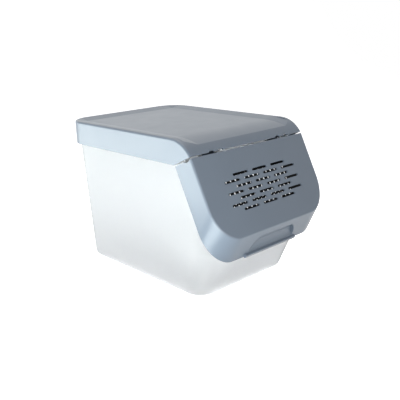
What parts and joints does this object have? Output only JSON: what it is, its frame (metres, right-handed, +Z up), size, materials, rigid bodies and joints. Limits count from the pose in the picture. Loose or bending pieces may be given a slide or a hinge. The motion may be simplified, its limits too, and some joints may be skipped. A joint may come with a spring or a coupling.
{
  "type": "potato storage bin",
  "caption": "Rectangular translucent bin with a dished lift-off lid and a sloped, slotted front flap that swings up on snap hooks.",
  "frame": {"origin": "on the floor under the middle of the bin's overall width and length", "axes": "+Z up, -Y towards the flap at the front, +Y towards the back, +X to the right of someone who looks at the flap; the bin is symmetric across the YZ plane"},
  "size_m": [0.231, 0.3497, 0.2323],
  "materials": {
    "tub_plastic": "satin translucent polypropylene",
    "cover_plastic": "satin",
    "screen_plastic": "matt"
  },
  "bodies": {
    "bin": {"tub": "tub_plastic"},
    "cover": {"lid": "cover_plastic"},
    "door": {"flap": "cover_plastic", "vent_screen": "screen_plastic"}
  },
  "joints": [
    {"name": "flap_hinge", "type": "hinge", "parent": "bin", "child": "door", "pos_m": [0, -0.11181, 0.21416], "axis": [-1, 0, 0], "range_deg": [0, 75]},
    {"name": "lid_lift", "type": "slide", "parent": "bin", "child": "cover", "axis": [0, 0.342, 0.9397], "range_m": [0, 0.05]}
  ]
}
